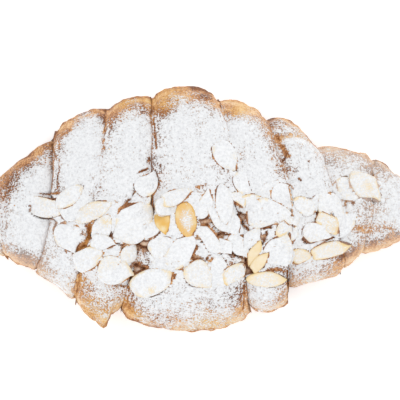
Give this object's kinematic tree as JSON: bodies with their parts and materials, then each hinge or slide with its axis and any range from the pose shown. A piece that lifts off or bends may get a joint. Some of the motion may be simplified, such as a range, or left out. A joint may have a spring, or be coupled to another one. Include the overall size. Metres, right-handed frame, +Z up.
{
  "type": "almond croissant",
  "caption": "Flattened almond croissant: rolled laminated dough with a browned rim, sliced almonds fused along its crest and a thick coat of icing sugar.",
  "frame": {"origin": "centre of the bounding box, on the flat underside that the croissant rests on", "axes": "+X along the roll, from the blunt end to the slender one; +Y to the back; +Z up"},
  "size_m": [0.182, 0.1, 0.0505],
  "materials": {
    "pastry": "baked laminated crust, golden brown at the rim, under a thick matt coat of icing sugar",
    "almond": "cream to golden sliced almond, satin where bare and matt where dusted with icing sugar"
  },
  "bodies": {
    "root": {"croissant": "pastry"}
  },
  "joints": []
}
